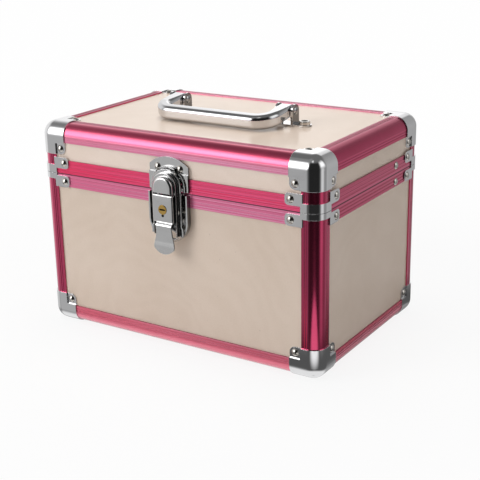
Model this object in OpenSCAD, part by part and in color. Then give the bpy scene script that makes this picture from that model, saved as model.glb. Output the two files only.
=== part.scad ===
// Makeup storage case: faced panels in aluminium edge sections, pressed corner caps,
// a hinged lid with a stay, a folding handle and a keyed draw latch.
// Millimetres. +X is the case's right, -Y its front, +Z up. The origin is the middle
// of the footprint, on the plane that the base caps stand on.

/* [Case] */
// Width over the corner caps
case_w = 240; // [220:1:320]
// Depth over the corner caps
case_d = 160; // [140:1:220]
// Height over the corner caps, without the handle
case_h = 160; // [140:1:220]
// Height of the lid, from the seam to the top of the caps
lid_h = 38.8; // [38:0.1:60]
// Gap between the closed lid and the body
seam_gap = 0.3; // [0.2:0.05:0.6]

/* [Panels] */
// Thickness of the faced boards
panel_t = 3; // [2.5:0.1:4]
// Clearance of a board in its slot, each side
slot_gap = 0.05; // [0.02:0.01:0.1]
// Thickness of the lining sheets
lining_t = 1; // [0.8:0.1:1.5]

/* [Edge sections] */
// Flange width of an edge section, from the corner
edge_w = 14; // [13:0.1:16]
// Outer rounding of an edge section
edge_r = 9.5; // [8:0.1:10.5]
// Wall of the aluminium sections
skin_t = 1; // [0.8:0.1:1.2]
// Depth and width of the fine lines along the sections
line_d = 0.3; // [0.2:0.05:0.4]
// Distance of the fine line from the edge of a flange
line_in = 2.7; // [2:0.1:3.5]

/* [Rims] */
// Height of the rim section on the body
body_rim_h = 9.6; // [9:0.1:12]
// Height of the rim section on the lid
lid_rim_h = 10.5; // [9.5:0.1:12]
// Height of the tongue that locates the lid
tongue_h = 1.8; // [1.2:0.1:1.8]
// Thickness of the tongue
tongue_t = 1.2; // [0.8:0.1:1.3]
// Clearance round the tongue
tongue_gap = 0.4; // [0.3:0.05:0.45]

/* [Sheet metal] */
// Thickness of the pressed chrome sheet
sheet_t = 0.8; // [0.6:0.1:1]
// Length of a corner cap's arms, from the virtual corner
cap_len = 24; // [23.2:0.1:27]
// Distance of a cap rivet from the section's outer planes
cap_rivet_in = 18.9; // [18.2:0.1:19.5]
// Corner radius of the cap's stepped rivet tab
cap_tab_r = 4.3; // [4:0.1:4.7]
// Height of a rim bracket's strap on the body
body_strap_h = 4.3; // [3.6:0.1:6]
// Height of a rim bracket's strap on the lid
lid_strap_h = 6.4; // [5:0.1:7.5]
// Radius of a rim bracket's ear
ear_r = 4.3; // [3.8:0.1:4.5]
// Distance of a rim bracket's rivet from the corner plane
bracket_rivet_in = 21.8; // [20:0.1:24]
// Height of the lid bracket's rivets above the seam
lid_bracket_rivet_z = 8.5; // [7:0.1:9]
// Depth of the body bracket's rivets below the seam
body_bracket_rivet_z = 5.8; // [5:0.1:6.5]

/* [Rivets] */
// Radius of a rivet's domed head
head_r = 2.9; // [2.4:0.1:3.2]
// Height of a rivet's domed head
head_h = 1.4; // [1:0.1:1.8]
// Radius of a rivet's shank
shank_r = 1.5; // [1.2:0.05:1.7]
// Clearance round a shank
shank_gap = 0.05; // [0.03:0.01:0.1]
// Thickness of a rivet's set tail
tail_t = 0.7; // [0.5:0.05:0.8]

/* [Hinges] */
// Width of a hinge
hinge_w = 36; // [26:1:44]
// Distance of a hinge's middle from the side of the case
hinge_in = 49.2; // [48.2:0.1:70]
// Outer radius of the knuckles
knuckle_r = 2.3; // [2:0.1:2.35]
// Radius of the hinge pin
hinge_pin_r = 1.05; // [0.8:0.05:1.2]
// Running clearance of a pin in its bore
pin_gap = 0.05; // [0.03:0.01:0.1]
// Distance of the hinge axis behind the back plane
hinge_out = 2.4; // [2.4:0.05:3]
// Thickness of the hinge leaves
leaf_t = 1; // [0.8:0.1:1.2]
// Height of a hinge leaf, from the axis
leaf_h = 9; // [8.4:0.1:9.3]

/* [Lid stay] */
// Distance of the stay's rivets from the hinge axis, along the depth
stay_reach = 43.1; // [40:0.1:52]
// Distance of the stay's two rivets above and below the hinge axis
stay_rise = 6.15; // [5.6:0.05:6.3]
// Lid angle at which the slot stops the stay
open_deg = 100; // [90:1:105]
// Half width of the stay's strap
stay_r = 4.2; // [3.6:0.1:4.6]
// Thickness of the stay's strap
stay_t = 1.2; // [1:0.1:1.6]

/* [Handle] */
// Distance between the middles of the handle's arms
handle_span = 95; // [80:1:120]
// Distance from the pivot to the middle of the grip
handle_reach = 29; // [26:0.5:40]
// Height of the pivot above the top panel
pivot_rise = 10.6; // [10:0.1:13]
// Place of the pivot behind the case's middle
pivot_back = 3; // [0:0.5:6]
// Height of the grip's middle above the top panel, at rest
grip_rise = 6.3; // [6:0.1:7]
// Width of the bar, in the plane of the handle
bar_w = 10.4; // [9:0.1:12]
// Height of the grip
grip_h = 10.8; // [9:0.1:11.4]
// Radius of the bends, on the middle line
bend_r = 12; // [9:0.5:15]
// Radius of the handle's pivot pins
handle_pin_r = 1.6; // [1.3:0.05:2]
// Thickness of the bracket's ears
bracket_ear_t = 1.8; // [1.2:0.1:2.2]
// Thickness of the bracket's foot
foot_t = 1.2; // [1:0.1:1.6]

/* [Latch] */
// Half width of the strike and the base plate
latch_half_w = 16.6; // [16:0.1:18]
// Height of the strike's top above the seam
strike_top = 25.4; // [24:0.1:26.5]
// Depth of the base plate's bottom below the seam
base_drop = 36.5; // [36:0.1:38]
// Distance of the latch's front face from the case front
latch_reach = 10.4; // [10:0.1:11.5]
// Thickness of the latch's plates
plate_t = 1; // [0.8:0.05:1.1]
// Half width of the lever and the claw's face
face_half_w = 8.7; // [8.4:0.1:9]
// Depth of the lever's pivot below the seam
lever_pivot_drop = 3; // [2.6:0.1:3.2]
// Distance from the lever's pivot to the claw's pivot
claw_throw = 10; // [9:0.1:10.5]
// Radius of the latch's pins
latch_pin_r = 1.25; // [1:0.05:1.4]
// Radius of the lock plug
plug_r = 3.4; // [3:0.1:3.6]

/* [Hidden] */
$fn = 64;
eps = 0.01;
// How far a cut runs past what it cuts
over = 1;

sides = ["front", "right", "back", "left"];

// The outer planes of the edge sections lie one sheet inside the caps.
frame_x = case_w / 2 - sheet_t;
frame_y = case_d / 2 - sheet_t;
frame_bottom = sheet_t;
frame_top = case_h - sheet_t;
seam_z = case_h - lid_h;
hinge_x = frame_x - hinge_in;

// The latch stands further out than the hinges, so the case sits back of the origin.
hinge_reach = hinge_out + knuckle_r;
case_y = (latch_reach - hinge_reach) / 2;

// Depths of the layers of a wall, inward from the outer plane
slot_w = panel_t + 2 * slot_gap;
leg_in = skin_t + slot_w;
frame_in = leg_in + skin_t;
board_in = skin_t + slot_gap;
lining_in = frame_in + slot_gap;
board_end_gap = 0.2;
board_edge_in = edge_r + board_end_gap;
leg_end = edge_w - skin_t;
line_w = 0.5;
line_start = 0.1;
chamber_w = 6.3;

body_top = seam_z - seam_gap / 2;
lid_bottom = seam_z + seam_gap / 2;
body_block_h = 3.5;
lid_block_h = 4.2;
leg_h = 5;
tongue_in = skin_t + 1.6;
lining_drop = 0.6;

cap_r = edge_r + sheet_t;
shank_hole_r = shank_r + shank_gap;
tail_r = shank_r + 0.8;
small_head_r = head_r - 0.7;
small_head_h = 0.7 * head_h;
flush_head_h = board_in - 0.3;
blind_l = skin_t + 0.75 * panel_t;
blind_hole_l = blind_l + 0.2;

strap_reach = 14.4;
ear_start = strap_reach - 1.6;
ear_round = 2.8;

leaf_rivet_z = 5.85;
leaf_rivet_x = hinge_w / 2 - 6;
knuckle_gap = 0.2;
leaf_start = knuckle_r + 0.4;
pin_head_r = hinge_pin_r + 0.7;
pin_head_h = 0.8;
pin_head_gap = 0.1;

stay_in = lining_in + lining_t + 0.4;
stay_side_gap = 0.3;
stay_head_r = shank_r + 1.4;
stay_slot_r = shank_r + 0.1;
stay_y = frame_y + hinge_out - stay_reach;
stay_arm = sqrt(pow(stay_reach, 2) + pow(stay_rise, 2));
stay_base_deg = 2 * atan(stay_rise / stay_reach);
stay_end_gap = 0.2;
stay_slot_start = 2 * stay_rise - stay_end_gap;
stay_slot_end = 2 * stay_arm * sin((stay_base_deg + open_deg) / 2)
    + stay_end_gap;

top_face = frame_top - skin_t - slot_gap;
pivot_z = top_face + pivot_rise;
handle_tilt = asin((pivot_rise - grip_rise) / handle_reach);
eye_r = 4.2;
arm_gap = 0.5;
ear_in_x = bar_w / 2 + arm_gap;
ear_out_x = ear_in_x + bracket_ear_t;
bracket_ear_r = 4.7;
foot_half_d = 5.8;
foot_rivet_x = 14.8;
grip_round = 3.6;
foot_lobe_r = 5.2;
foot_head_r = 4.2;
foot_head_h = 2.6;
foot_recess_r = 2.5;
foot_recess_d = 0.7;
foot_edge_r = 0.6;
handle_pin_head_r = handle_pin_r + 1.4;
handle_pin_head_h = 1.1;
arm_swell = 0.2;

face_y = -latch_reach;
pivot_y = face_y + 3.8;
lever_top = -0.1;
lever_bottom = -20.2;
claw_pivot_drop = lever_pivot_drop + claw_throw;
claw_pivot_y = pivot_y + 2.2;
arm_in = face_half_w + 0.35;
arm_out = arm_in + plate_t;
base_ear_out = 6.6;
base_ear_r = 2.5;
claw_top = 12.3;
claw_start = lever_top + 1.2;
flange_r = 11.4;
flange_top = 15.8;
arch_z = flange_top - flange_r;
prong_out = 12.8;
prong_h = 5;
claw_arch_y = face_y + 4.2;
ledge_top = 6.4;
ledge_gap = 0.45;
lock_z = -10.8;
arm_bottom = -29.4;
tab_top = -22;
tab_bottom = -43.9;
tab_half_w = 7;
flare_half_w = 8.9;
flare_z = -37.3;
strike_rivet_x = 9.5;
strike_rivet_z = 17.4;
base_rivets = [[12.6, -12], [10.6, -25]];
strike_start = 1.4;
strike_step = 14;
surround_r = flange_r + 3.2;
strike_round = 1.5;
strike_raise = 1;
surround_h = 2.2;
ledge_half_w = 5;
ledge_out = 6;
ledge_h = 3;
head_gap = 0.2;
base_start = 0.6;
base_rim_h = 3;
base_rim_t = 1.2;
base_ear_top = 1;
lap = 0.1;
lever_deep = 8;
lever_lip_w = 2;
lever_lip_h = 2.5;
lever_eye_r = latch_pin_r + 1.9;
tab_back = 0.9;
tab_lap = 2;
tab_round = 11;
sleeve_r = plug_r + 1.1;
sleeve_l = 5.4;
mark_r = 0.75;
mark_z = lock_z - plug_r - 0.9;
arm_deep = 3.2;
arm_eye_r = latch_pin_r + 1.6;
claw_bar_w = 7;
claw_tail_r = latch_pin_r + 0.7;
claw_tail_t = 0.9;
claw_tail_x = face_half_w - plate_t - lap - claw_tail_t;
claw_head_r = latch_pin_r + 0.5;
claw_head_h = 0.7;
plug_out = 0.4;
plug_l = 6.6;
cam_w = 2.6;
cam_l = 5.2;
cam_lap = 0.4;
key_slot_l = 5.2;
key_slot_t = 0.9;
key_slot_d = 4;

pink = [0.84, 0.24, 0.45];
cream = [0.88, 0.84, 0.79];
chrome = [0.82, 0.83, 0.85];
brass = [0.80, 0.64, 0.30];
felt = [0.22, 0.21, 0.22];

// ---- places ----

module placed() translate([0, case_y, 0]) children();

function is_long(side) = side == "front" || side == "back";
function half_len(side) = is_long(side) ? frame_x : frame_y;
function reach(side) = is_long(side) ? frame_y : frame_x;
function side_deg(side) = 90 * search([side], sides)[0];

// A wall's own frame: x runs along it, y inward from its outer plane, z up.
module on_wall(side) placed() rotate([0, 0, side_deg(side)]) translate([0, -reach(side), 0]) children();

// The left end of a wall is a corner of the case; the corner is at the local origin.
module at_corner(side) on_wall(side) translate([-half_len(side), 0, 0]) children();

module at_bottom() translate([0, 0, frame_bottom]) children();
module at_top() translate([0, 0, frame_top]) mirror([0, 0, 1]) children();
module both_ends() for (m = [0, 1]) mirror([m, 0, 0]) children();
module both_faces() for (m = [0, 1]) mirror([m, -m, 0]) children();
module both_diagonal() for (m = [0, 1]) mirror([m, -m]) children();

// A section drawn as (depth, height) is run along a wall.
module along_wall(len) translate([-len / 2, 0, 0]) rotate([90, 0, 90]) linear_extrude(len) children();

// ---- sections ----

module quarter_disc(r) intersection() {
    square(r);
    translate([r, r]) circle(r);
}

module corner_square(size, r) {
    quarter_disc(r);
    translate([r, 0]) square([size - r, size]);
    translate([0, r]) square([r, size - r]);
}

module round_bar(w, h, r) {
    square([w - 2 * r, h], center = true);
    square([w, h - 2 * r], center = true);
    for (sx = [-1, 1], sy = [-1, 1]) translate([sx * (w / 2 - r), sy * (h / 2 - r)]) circle(r);
}

// Extruded corner: two board slots, a hollow corner chamber and the inside angle
module edge_section() difference() {
    corner_square(edge_w, edge_r);
    both_diagonal() {
        intersection() {
            translate([skin_t, skin_t]) corner_square(edge_w, edge_r - skin_t);
            translate([0, chamber_w + skin_t]) square([leg_in, edge_w]);
        }
        translate([leg_in - eps, leg_end]) square([skin_t + 2 * eps, edge_w]);
        for (at = [edge_w - line_in, edge_r + line_start])
            translate([-eps, at]) square([line_d + eps, line_w]);
    }
    translate([frame_in, frame_in]) square(edge_w);
    difference() {
        intersection() {
            translate([edge_r, edge_r]) circle(edge_r - skin_t);
            square(chamber_w);
        }
        translate([leg_in, leg_in]) square(edge_w);
    }
}

module rim_lines(h) for (k = [1:3])
    translate([-eps, k * h / 4 - line_w / 2]) square([line_d + eps, line_w]);

module body_rim_section() {
    difference() {
        union() {
            square([skin_t, body_rim_h]);
            square([frame_in, body_block_h]);
        }
        rim_lines(body_rim_h);
    }
    translate([leg_in, body_block_h - eps]) square([skin_t, leg_h]);
    translate([tongue_in, -tongue_h]) square([tongue_t, tongue_h + eps]);
}

module lid_rim_section() {
    difference() {
        union() {
            square([skin_t, lid_rim_h]);
            square([frame_in, lid_block_h]);
        }
        rim_lines(lid_rim_h);
        translate([tongue_in - tongue_gap, -eps])
            square([tongue_t + 2 * tongue_gap, tongue_h + tongue_gap + seam_gap / 2]);
    }
    translate([leg_in, lid_block_h - eps]) square([skin_t, leg_h]);
}

// ---- rivets ----

module dome(r, h) {
    ball_r = (r * r + h * h) / (2 * h);
    intersection() {
        translate([0, h - ball_r]) circle(ball_r);
        square([r, h]);
    }
}

// The head stands on z = 0 and the shank goes down.
module rivet(len, r = head_r, h = head_h, tail = false) rotate_extrude() {
    dome(r, h);
    translate([0, -len]) square([shank_r, len + eps]);
    if (tail) translate([0, -len - tail_t]) square([tail_r, tail_t + eps]);
}

// Drum-headed rivet with a dished top
module drum_rivet(len) rotate_extrude() {
    difference() {
        union() {
            square([foot_head_r, foot_head_h - foot_edge_r]);
            square([foot_head_r - foot_edge_r, foot_head_h]);
            translate([foot_head_r - foot_edge_r, foot_head_h - foot_edge_r]) circle(foot_edge_r);
        }
        translate([-eps, foot_head_h - foot_recess_d]) square([foot_recess_r, foot_recess_d + over]);
    }
    translate([0, -len]) square([shank_r, len + eps]);
    translate([0, -len - tail_t]) square([tail_r, tail_t + eps]);
}

module hole(len) translate([0, 0, -len]) cylinder(r = shank_hole_r, h = len + sheet_t + 2 * over);

// On a wall, z = 0 of the child becomes the given depth and the child faces outward.
module outward(x, depth, z) translate([x, depth, z]) rotate([90, 0, 0]) children();

module cap_rivet_spots(side, z) both_ends() translate([half_len(side) - cap_rivet_in, 0, z]) children();

module base_cap_spots(side) cap_rivet_spots(side, frame_bottom + cap_rivet_in) children();
module top_cap_spots(side) cap_rivet_spots(side, frame_top - cap_rivet_in) children();

module bracket_spots(side, z) both_ends()
    translate([half_len(side) - bracket_rivet_in, 0, z]) children();

module leaf_spots(z) for (s = [-1, 1], t = [-1, 1])
    translate([s * hinge_x + t * leaf_rivet_x, 0, z]) children();

module stay_spot(z) translate([stay_y, 0, z]) children();

module base_plate_spots() for (sx = [-1, 1], at = base_rivets)
    translate([sx * at[0], 0, seam_z + at[1]]) children();

module strike_spots() both_ends() translate([strike_rivet_x, 0, seam_z + strike_rivet_z]) children();

module foot_spots() placed() for (sx = [-1, 1], dx = [-foot_rivet_x, foot_rivet_x])
    translate([sx * handle_span / 2 + dx, pivot_back, 0]) children();

module body_wall_holes(side) {
    base_cap_spots(side) outward(0, 0, 0) hole(frame_in);
    bracket_spots(side, seam_z - body_bracket_rivet_z) outward(0, 0, 0) hole(blind_hole_l);
    if (side == "back") leaf_spots(seam_z - leaf_rivet_z) outward(0, 0, 0) hole(blind_hole_l);
    if (side == "right") stay_spot(seam_z - stay_rise) outward(0, 0, 0) hole(stay_in);
    if (side == "front") base_plate_spots() outward(0, 0, 0) hole(frame_in);
}

module lid_wall_holes(side) {
    top_cap_spots(side) outward(0, 0, 0) hole(frame_in);
    bracket_spots(side, seam_z + lid_bracket_rivet_z) outward(0, 0, 0) hole(blind_hole_l);
    if (side == "back") leaf_spots(seam_z + leaf_rivet_z) outward(0, 0, 0) hole(blind_hole_l);
    if (side == "right") stay_spot(seam_z + stay_rise) outward(0, 0, 0) hole(stay_in);
    if (side == "front") strike_spots() outward(0, 0, 0) hole(frame_in);
}

// ---- body: boards and sections ----

module flat_board(z) difference() {
    placed() translate([-frame_x + board_edge_in, -frame_y + board_edge_in, z])
        cube([2 * (frame_x - board_edge_in), 2 * (frame_y - board_edge_in), panel_t]);
    for (side = sides) on_wall(side) translate([-half_len(side) + cap_rivet_in, cap_rivet_in, z - over])
        cylinder(r = shank_hole_r, h = panel_t + 2 * over);
}

module wall_board(side, z0, z1) translate([-half_len(side) + board_edge_in, board_in, z0])
    cube([2 * (half_len(side) - board_edge_in), panel_t, z1 - z0]);

module base_panel() color(cream) flat_board(frame_bottom + board_in);

module body_panel(side) color(cream) on_wall(side) difference() {
    wall_board(side, frame_bottom + board_edge_in, body_top - body_block_h - board_end_gap);
    body_wall_holes(side);
}

module base_edge(side) color(pink) on_wall(side) at_bottom()
    along_wall(2 * (half_len(side) - edge_w)) edge_section();

module post(side) color(pink) at_corner(side) translate([0, 0, frame_bottom + edge_w])
    linear_extrude(body_top - frame_bottom - edge_w) edge_section();

module body_rim(side) color(pink) on_wall(side) difference() {
    translate([0, 0, body_top]) mirror([0, 0, 1])
        along_wall(2 * (half_len(side) - edge_w)) body_rim_section();
    body_wall_holes(side);
}

// ---- lid: boards and sections ----

module foot_holes() foot_spots() translate([0, 0, top_face - panel_t - over])
    cylinder(r = shank_hole_r, h = panel_t + foot_t + 2 * over);

module top_panel() color(cream) difference() {
    flat_board(top_face - panel_t);
    foot_holes();
}

module lid_panel(side) color(cream) on_wall(side) difference() {
    wall_board(side, lid_bottom + lid_block_h + board_end_gap, frame_top - board_edge_in);
    lid_wall_holes(side);
}

module top_edge(side) color(pink) on_wall(side) at_top()
    along_wall(2 * (half_len(side) - edge_w)) edge_section();

module lid_rim(side) color(pink) on_wall(side) difference() {
    translate([0, 0, lid_bottom]) along_wall(2 * (half_len(side) - edge_w)) lid_rim_section();
    lid_wall_holes(side);
}

module lid_posts() color(pink) for (side = sides) at_corner(side) translate([0, 0, lid_bottom])
    linear_extrude(frame_top - edge_w - lid_bottom) edge_section();

// ---- pressed corners ----

module sheet_band(len) difference() {
    corner_square(len, cap_r);
    translate([sheet_t, sheet_t]) corner_square(len, edge_r);
}

module ball_octant() translate([cap_r, cap_r, cap_r]) rotate([0, 0, 180])
    rotate_extrude(angle = 90) intersection() {
        difference() {
            circle(cap_r);
            circle(edge_r);
        }
        translate([0, -cap_r]) square(cap_r);
    }

module tab_square(start, at) {
    both_diagonal() translate([start, start]) square([at - start, at + cap_tab_r - start]);
    translate([at, at]) circle(cap_tab_r);
}

// The tab steps down from the flange to the board, beside the arms.
module cap_tab() {
    at = sheet_t + cap_rivet_in;
    inner = sheet_t + edge_w;
    step = sheet_t + board_in;
    difference() {
        union() {
            translate([0, 0, step - sheet_t]) linear_extrude(sheet_t) tab_square(inner, at);
            linear_extrude(step) difference() {
                tab_square(inner - eps, at);
                translate([inner + sheet_t, inner + sheet_t]) square(cap_len);
            }
        }
        translate([at, at, -over]) cylinder(r = shank_hole_r, h = step + 2 * over);
    }
}

// The virtual corner is at the origin and the arms run along +X, +Y and +Z.
module corner_cap() color(chrome) {
    arm_w = sheet_t + edge_w;
    ball_octant();
    for (turn = [[0, 0, 0], [90, 0, 90], [-90, -90, 0]])
        rotate(turn) {
            translate([0, 0, cap_r]) linear_extrude(cap_len - cap_r) sheet_band(arm_w);
            cap_tab();
        }
}

module base_cap(side) at_corner(side) translate([-sheet_t, -sheet_t, 0]) corner_cap();

module top_cap(side) at_corner(side) translate([-sheet_t, -sheet_t, case_h]) mirror([0, 0, 1])
    corner_cap();

// A strap round the corner with a riveted ear on each face; z = 0 is the seam side.
module rim_bracket(strap_h, rivet_z) color(chrome) translate([-sheet_t, -sheet_t, 0]) {
    linear_extrude(strap_h) sheet_band(sheet_t + strap_reach);
    both_faces() difference() {
        rotate([90, 0, 0]) translate([0, 0, -sheet_t]) linear_extrude(sheet_t) {
            translate([sheet_t + bracket_rivet_in, rivet_z])
                round_bar(2 * ear_r, 2 * ear_r, ear_round);
            translate([sheet_t + ear_start, rivet_z - ear_r])
                square([bracket_rivet_in - ear_start, 2 * ear_r]);
        }
        translate([sheet_t + bracket_rivet_in, 0, rivet_z]) rotate([90, 0, 0]) hole(2 * over);
    }
}

module body_brackets() for (side = sides) at_corner(side) translate([0, 0, body_top])
    mirror([0, 0, 1]) rim_bracket(body_strap_h, body_bracket_rivet_z - seam_gap / 2);

module lid_brackets() for (side = sides) at_corner(side) translate([0, 0, lid_bottom])
    rim_bracket(lid_strap_h, lid_bracket_rivet_z - seam_gap / 2);

module flat_cap_rivets(h) for (side = sides)
    on_wall(side) translate([-half_len(side) + cap_rivet_in, cap_rivet_in, 0])
        mirror([0, 0, 1]) rivet(sheet_t + panel_t + slot_gap, h = h, tail = true);

module body_rivets() color(chrome) {
    translate([0, 0, frame_bottom + board_in - sheet_t]) flat_cap_rivets(flush_head_h);
    for (side = sides) on_wall(side) {
        base_cap_spots(side) outward(0, board_in - sheet_t, 0)
            rivet(sheet_t + panel_t + slot_gap, tail = true);
        bracket_spots(side, seam_z - body_bracket_rivet_z) outward(0, -sheet_t, 0)
            rivet(sheet_t + blind_l);
    }
    on_wall("back") leaf_spots(seam_z - leaf_rivet_z) outward(0, -leaf_t, 0)
        rivet(leaf_t + blind_l, small_head_r, small_head_h);
    on_wall("front") base_plate_spots() outward(0, -plate_t, 0)
        rivet(plate_t + board_in + panel_t + slot_gap, small_head_r, small_head_h, tail = true);
    on_wall("right") stay_spot(seam_z - stay_rise) stay_stud();
}

module lid_rivets() color(chrome) {
    translate([0, 0, top_face + sheet_t]) mirror([0, 0, 1]) flat_cap_rivets(head_h);
    for (side = sides) on_wall(side) {
        top_cap_spots(side) outward(0, board_in - sheet_t, 0)
            rivet(sheet_t + panel_t + slot_gap, tail = true);
        bracket_spots(side, seam_z + lid_bracket_rivet_z) outward(0, -sheet_t, 0)
            rivet(sheet_t + blind_l);
    }
    on_wall("back") leaf_spots(seam_z + leaf_rivet_z) outward(0, -leaf_t, 0)
        rivet(leaf_t + blind_l, small_head_r, small_head_h);
    on_wall("front") strike_spots() outward(0, -plate_t, 0)
        rivet(plate_t + board_in + panel_t + slot_gap, tail = true);
    foot_spots() translate([0, 0, top_face + foot_t]) drum_rivet(foot_t + panel_t + slot_gap);
    on_wall("right") stay_spot(seam_z + stay_rise) stay_stud();
}

// The stud goes through the wall and the strap, and a head inside keeps the strap on.
module stay_stud() {
    end = stay_in + stay_t + stay_side_gap;
    outward(0, 0, 0) rivet(end + sheet_t);
    outward(0, end + sheet_t, 0) cylinder(r = stay_head_r, h = sheet_t);
}

// ---- linings ----

// Glued sheets: a flat one on the board, and four walls that butt against it
module lining_sheets(h, flat_down) {
    ox = frame_x - lining_in;
    oy = frame_y - lining_in;
    wall_z = flat_down ? lining_t + slot_gap : 0;
    wall_h = h - lining_t - slot_gap;
    translate([-ox, -oy, flat_down ? 0 : h - lining_t]) cube([2 * ox, 2 * oy, lining_t]);
    for (m = [0, 1]) {
        mirror([0, m, 0]) translate([-ox, -oy, wall_z]) cube([2 * ox, lining_t, wall_h]);
        mirror([m, 0, 0]) translate([-ox, -oy + lining_t + slot_gap, wall_z])
            cube([lining_t, 2 * (oy - lining_t - slot_gap), wall_h]);
    }
}

module body_lining() color(felt) difference() {
    placed() translate([0, 0, frame_bottom + lining_in])
        lining_sheets(body_top - frame_bottom - lining_in - lining_drop, true);
    on_wall("right") stay_spot(seam_z - stay_rise) outward(0, 0, 0) hole(stay_in);
}

module lid_lining() color(felt) difference() {
    placed() translate([0, 0, lid_bottom + lining_drop])
        lining_sheets(frame_top - lining_in - lid_bottom - lining_drop, false);
    on_wall("right") stay_spot(seam_z + stay_rise) outward(0, 0, 0) hole(stay_in);
}

// ---- hinges ----

module knuckle(x0, x1) translate([x0, 0, 0]) rotate([0, 90, 0]) cylinder(r = knuckle_r, h = x1 - x0);

// The axis is at the origin, the leaf goes up, and y is inward.
module hinge_leaf(spans) difference() {
    union() {
        translate([-hinge_w / 2, hinge_out - leaf_t, leaf_start])
            cube([hinge_w, leaf_t, leaf_h - leaf_start]);
        for (s = spans) {
            knuckle(s[0], s[1]);
            translate([s[0], hinge_out - leaf_t, 0]) cube([s[1] - s[0], leaf_t, leaf_start + eps]);
        }
    }
    translate([-hinge_w, 0, 0]) rotate([0, 90, 0])
        cylinder(r = hinge_pin_r + pin_gap, h = 2 * hinge_w);
    for (s = [-1, 1]) translate([s * leaf_rivet_x, hinge_out, leaf_rivet_z])
        rotate([90, 0, 0]) hole(2 * over);
}

module at_hinges() on_wall("back") for (s = [-1, 1])
    translate([s * hinge_x, -hinge_out, seam_z]) children();

module hinge_body_leaves() color(chrome) at_hinges() mirror([0, 0, 1])
    hinge_leaf([[-hinge_w / 2, -hinge_w / 6 - knuckle_gap], [hinge_w / 6 + knuckle_gap, hinge_w / 2]]);

module hinge_lid_leaves() color(chrome) at_hinges() hinge_leaf([[-hinge_w / 6, hinge_w / 6]]);

module hinge_pins() color(chrome) at_hinges() rotate([0, 90, 0]) {
    cylinder(r = hinge_pin_r, h = hinge_w + 4 * pin_head_gap, center = true);
    for (s = [0, 1]) mirror([0, 0, s]) translate([0, 0, hinge_w / 2 + pin_head_gap])
        cylinder(r = pin_head_r, h = pin_head_h);
}

// ---- lid stay ----

module stay_outline() difference() {
    union() {
        circle(stay_r);
        translate([-stay_r, -stay_slot_end]) square([2 * stay_r, stay_slot_end]);
        translate([0, -stay_slot_end]) circle(stay_r);
    }
    circle(shank_r + pin_gap);
    translate([0, -stay_slot_start]) circle(stay_slot_r);
    translate([0, -stay_slot_end]) circle(stay_slot_r);
    translate([-stay_slot_r, -stay_slot_end]) square([2 * stay_slot_r, stay_slot_end - stay_slot_start]);
}

module lid_stay() color(chrome) on_wall("right") stay_spot(seam_z + stay_rise)
    outward(0, stay_in + stay_t, 0) linear_extrude(stay_t) stay_outline();

// ---- handle ----

module at_pivot() placed() translate([0, pivot_back, pivot_z]) children();

// The bail lies flat, with its pivot line on x and its grip towards -Y.
module handle_bar() {
    half = handle_span / 2;
    translate([0, -handle_reach, 0]) rotate([0, 90, 0])
        linear_extrude(handle_span - 2 * bend_r, center = true) round_bar(grip_h, bar_w, grip_round);
    both_ends() translate([half - bend_r, -handle_reach + bend_r, 0]) {
        rotate([0, 0, -90]) rotate_extrude(angle = 90) translate([bend_r, 0])
            round_bar(bar_w, grip_h, grip_round);
        translate([bend_r, 0, 0]) rotate([-90, 0, 0])
            linear_extrude(handle_reach - bend_r + eye_r) round_bar(bar_w, grip_h, grip_round);
    }
}

// Side outline: the eye, and the arm that widens towards the grip.
module handle_side() {
    front = -handle_reach - bar_w;
    bend_start = -handle_reach + bend_r / 2;
    circle(eye_r);
    bend_h = grip_h / 2 + arm_swell;
    polygon([[front, -grip_h], [bend_start, -bend_h], [0, -eye_r], [0, eye_r],
        [bend_start, bend_h], [front, grip_h]]);
}

module handle() color(chrome) at_pivot() rotate([handle_tilt, 0, 0]) difference() {
    intersection() {
        handle_bar();
        rotate([90, 0, 90]) linear_extrude(handle_span + 2 * bar_w, center = true) handle_side();
    }
    rotate([0, 90, 0]) cylinder(r = handle_pin_r + pin_gap, h = 2 * handle_span, center = true);
}

module foot_plate() linear_extrude(foot_t) difference() {
    union() {
        square([2 * ear_out_x, 2 * foot_half_d], center = true);
        square([2 * foot_rivet_x, 2 * foot_lobe_r], center = true);
        for (s = [-1, 1]) translate([s * foot_rivet_x, 0]) circle(foot_lobe_r);
    }
    for (s = [-1, 1]) translate([s * foot_rivet_x, 0]) circle(shank_hole_r);
}

module bracket_ear() difference() {
    union() {
        cylinder(r = bracket_ear_r, h = bracket_ear_t);
        translate([0, -bracket_ear_r, 0]) cube([pivot_rise, 2 * bracket_ear_r, bracket_ear_t]);
    }
    translate([0, 0, -over]) cylinder(r = handle_pin_r + pin_gap, h = bracket_ear_t + 2 * over);
}

module handle_brackets() color(chrome) both_ends() translate([handle_span / 2, 0, 0]) {
    placed() translate([0, pivot_back, top_face]) foot_plate();
    at_pivot() for (m = [0, 1]) mirror([m, 0, 0]) translate([ear_in_x, 0, 0])
        rotate([0, 90, 0]) bracket_ear();
}

module handle_pins() color(chrome) at_pivot() both_ends() translate([handle_span / 2, 0, 0])
    rotate([0, 90, 0]) {
        cylinder(r = handle_pin_r, h = 2 * ear_out_x + 4 * pin_head_gap, center = true);
        for (m = [0, 1]) mirror([0, 0, m]) translate([0, 0, ear_out_x + pin_head_gap])
            rotate_extrude() dome(handle_pin_head_r, handle_pin_head_h);
    }

// ---- latch ----

// The latch is drawn on the front wall: y is negative outward and z counts from the seam.
module at_latch() on_wall("front") translate([0, 0, seam_z]) children();

module upright(depth, t) translate([0, depth + t, 0]) rotate([90, 0, 0]) linear_extrude(t) children();

module strike_outline(inset = 0) {
    arc_r = strike_round * latch_half_w;
    intersection() {
        translate([0, strike_top - arc_r]) circle(arc_r - inset);
        translate([-latch_half_w + inset, strike_start])
            square([2 * (latch_half_w - inset), strike_top]);
    }
}

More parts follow.
